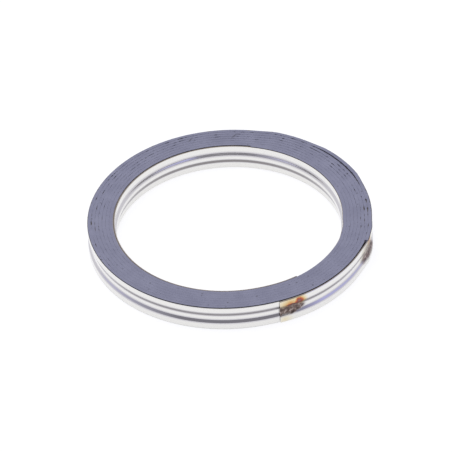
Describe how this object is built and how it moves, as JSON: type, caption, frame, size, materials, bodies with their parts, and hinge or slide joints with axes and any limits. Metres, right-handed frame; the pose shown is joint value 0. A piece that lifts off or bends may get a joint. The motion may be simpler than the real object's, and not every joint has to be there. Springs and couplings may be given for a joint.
{
  "type": "exhaust gasket",
  "caption": "Spiral-wound exhaust gasket: a beaded stainless strip wound with a graphite filler into a flat ring that seals a pipe to a port.",
  "frame": {"origin": "centre of the bore at the ring's mid-height", "axes": "+Z along the bore axis, up out of the ring's upper face; the strip's outer end is at the front right, between +X and -Y"},
  "size_m": [0.0502, 0.0498, 0.0048],
  "materials": {
    "steel": "polished",
    "graphite": "matte"
  },
  "bodies": {
    "root": {"steel_strip": "steel", "graphite_filler": "graphite"}
  },
  "joints": []
}
